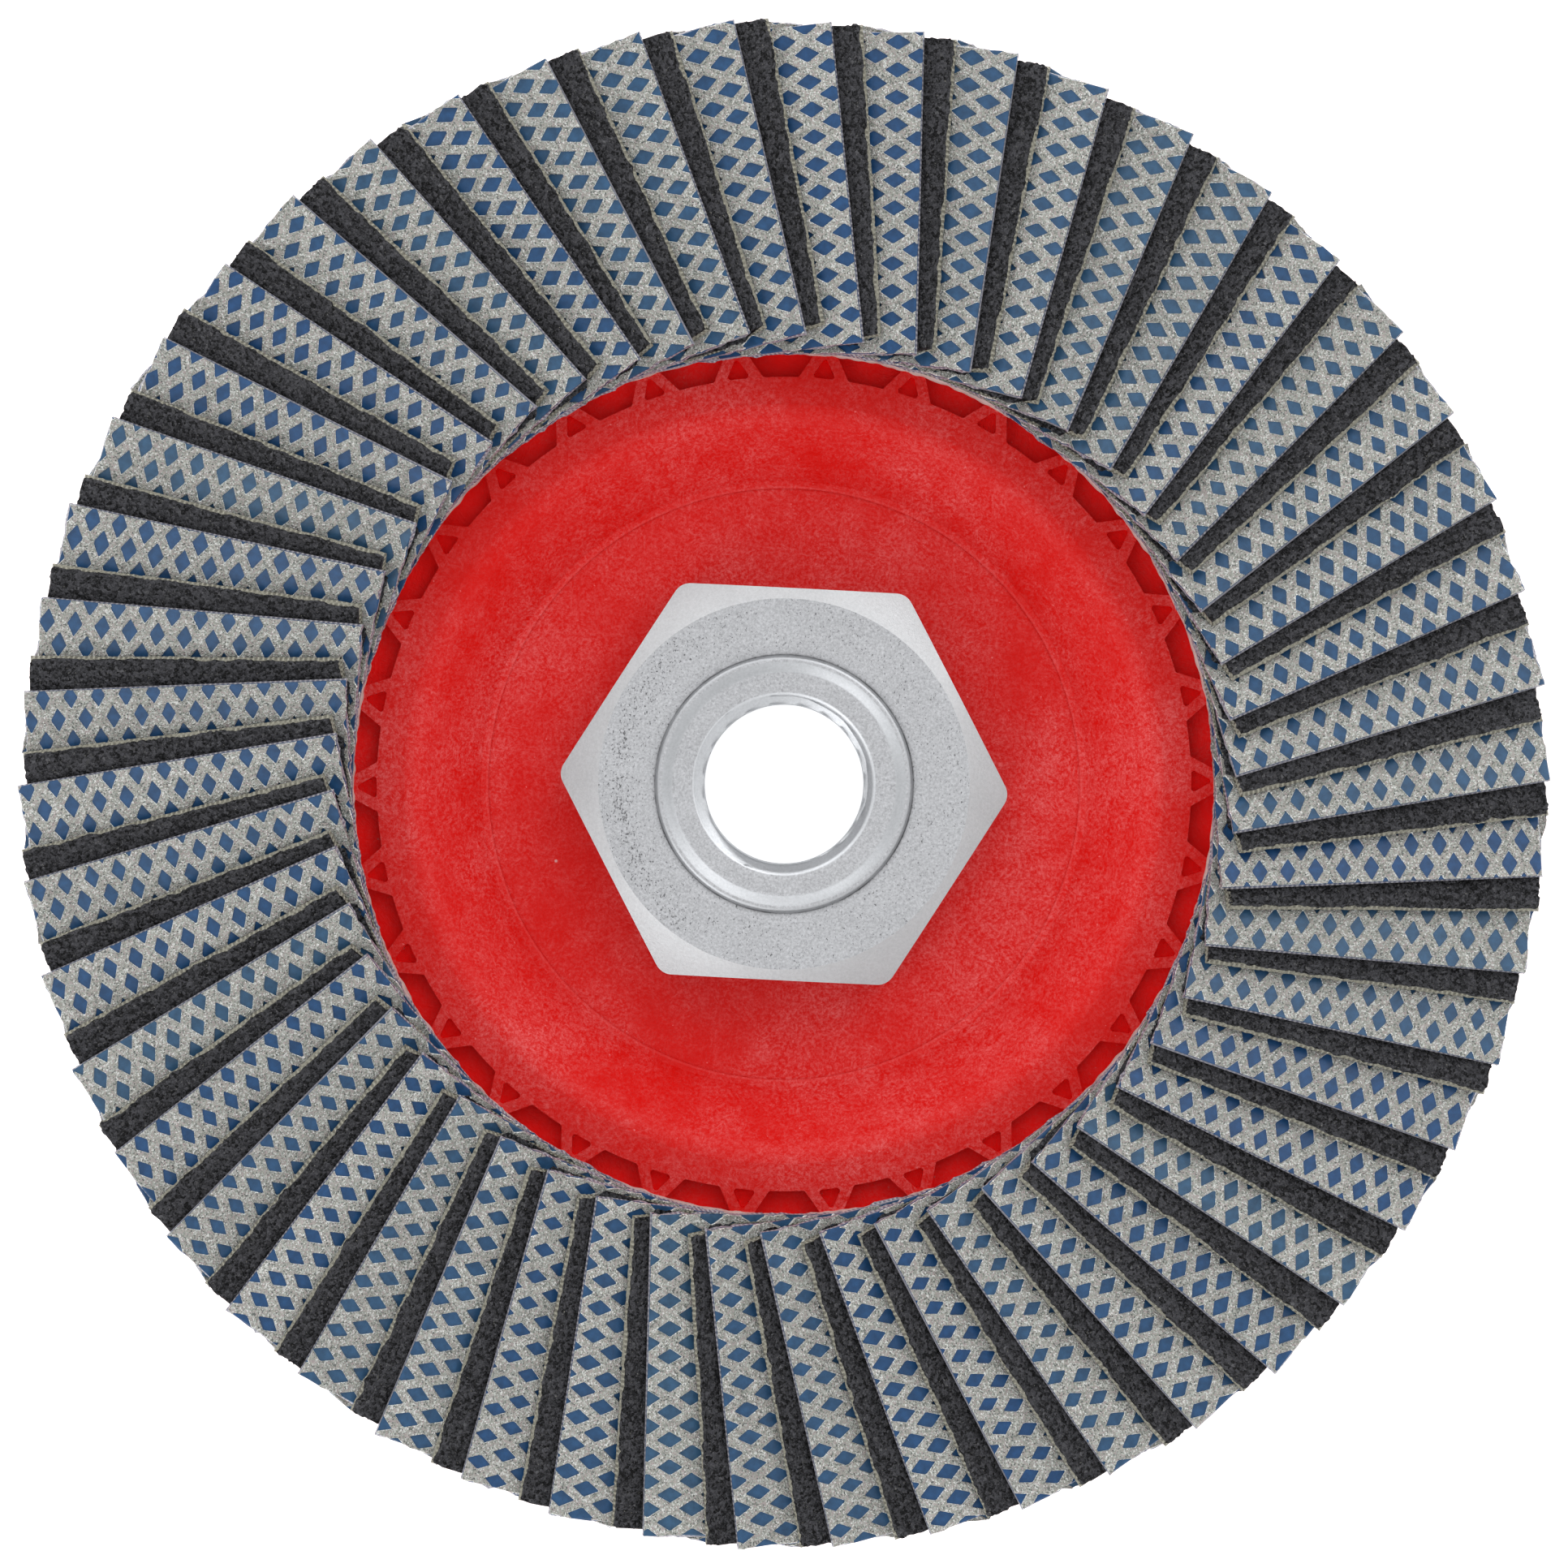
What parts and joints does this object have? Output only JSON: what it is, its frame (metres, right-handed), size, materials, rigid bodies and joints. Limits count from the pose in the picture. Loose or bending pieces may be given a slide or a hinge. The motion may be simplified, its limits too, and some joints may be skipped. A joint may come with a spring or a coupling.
{
  "type": "abrasive flap disc",
  "caption": "Angle grinder flap disc: diamond-lattice and plain grit flaps shingled on a plastic backing plate with a threaded hex hub.",
  "frame": {"origin": "centre of the rear flange face of the threaded sleeve, the lowest point at rest", "axes": "+Z along the spin axis towards the working face; +X through a corner of the hex collar"},
  "size_m": [0.128, 0.1278, 0.0212],
  "materials": {
    "red_plastic": "satin, with short pale fibres in it",
    "zinc_plated_sleeve": "zinc plated, rolled lip",
    "zinc_plated_collar": "zinc plated, fine grain",
    "cured_glue": "cured epoxy, glossy",
    "diamond_lattice_cloth": "raised grey grit lattice over smooth blue resin, on cloth",
    "grit_cloth": "coarse dark grit on cloth"
  },
  "bodies": {
    "root": {"backing_plate": "red_plastic", "threaded_sleeve": "zinc_plated_sleeve", "hex_collar": "zinc_plated_collar", "glue_ring": "cured_glue", "diamond_flaps_01": "diamond_lattice_cloth", "diamond_flaps_02": "diamond_lattice_cloth", "diamond_flaps_03": "diamond_lattice_cloth", "diamond_flaps_04": "diamond_lattice_cloth", "diamond_flaps_05": "diamond_lattice_cloth", "diamond_flaps_06": "diamond_lattice_cloth", "diamond_flaps_07": "diamond_lattice_cloth", "diamond_flaps_08": "diamond_lattice_cloth", "diamond_flaps_09": "diamond_lattice_cloth", "diamond_flaps_10": "diamond_lattice_cloth", "diamond_flaps_11": "diamond_lattice_cloth", "diamond_flaps_12": "diamond_lattice_cloth", "diamond_flaps_13": "diamond_lattice_cloth", "diamond_flaps_14": "diamond_lattice_cloth", "diamond_flaps_15": "diamond_lattice_cloth", "diamond_flaps_16": "diamond_lattice_cloth", "diamond_flaps_17": "diamond_lattice_cloth", "diamond_flaps_18": "diamond_lattice_cloth", "diamond_flaps_19": "diamond_lattice_cloth", "diamond_flaps_20": "diamond_lattice_cloth", "diamond_flaps_21": "diamond_lattice_cloth", "diamond_flaps_22": "diamond_lattice_cloth", "diamond_flaps_23": "diamond_lattice_cloth", "diamond_flaps_24": "diamond_lattice_cloth", "diamond_flaps_25": "diamond_lattice_cloth", "grit_flaps_01": "grit_cloth", "grit_flaps_02": "grit_cloth", "grit_flaps_03": "grit_cloth", "grit_flaps_04": "grit_cloth", "grit_flaps_05": "grit_cloth", "grit_flaps_06": "grit_cloth", "grit_flaps_07": "grit_cloth", "grit_flaps_08": "grit_cloth", "grit_flaps_09": "grit_cloth", "grit_flaps_10": "grit_cloth", "grit_flaps_11": "grit_cloth", "grit_flaps_12": "grit_cloth", "grit_flaps_13": "grit_cloth", "grit_flaps_14": "grit_cloth", "grit_flaps_15": "grit_cloth", "grit_flaps_16": "grit_cloth", "grit_flaps_17": "grit_cloth", "grit_flaps_18": "grit_cloth", "grit_flaps_19": "grit_cloth", "grit_flaps_20": "grit_cloth", "grit_flaps_21": "grit_cloth", "grit_flaps_22": "grit_cloth", "grit_flaps_23": "grit_cloth", "grit_flaps_24": "grit_cloth", "grit_flaps_25": "grit_cloth"}
  },
  "joints": []
}
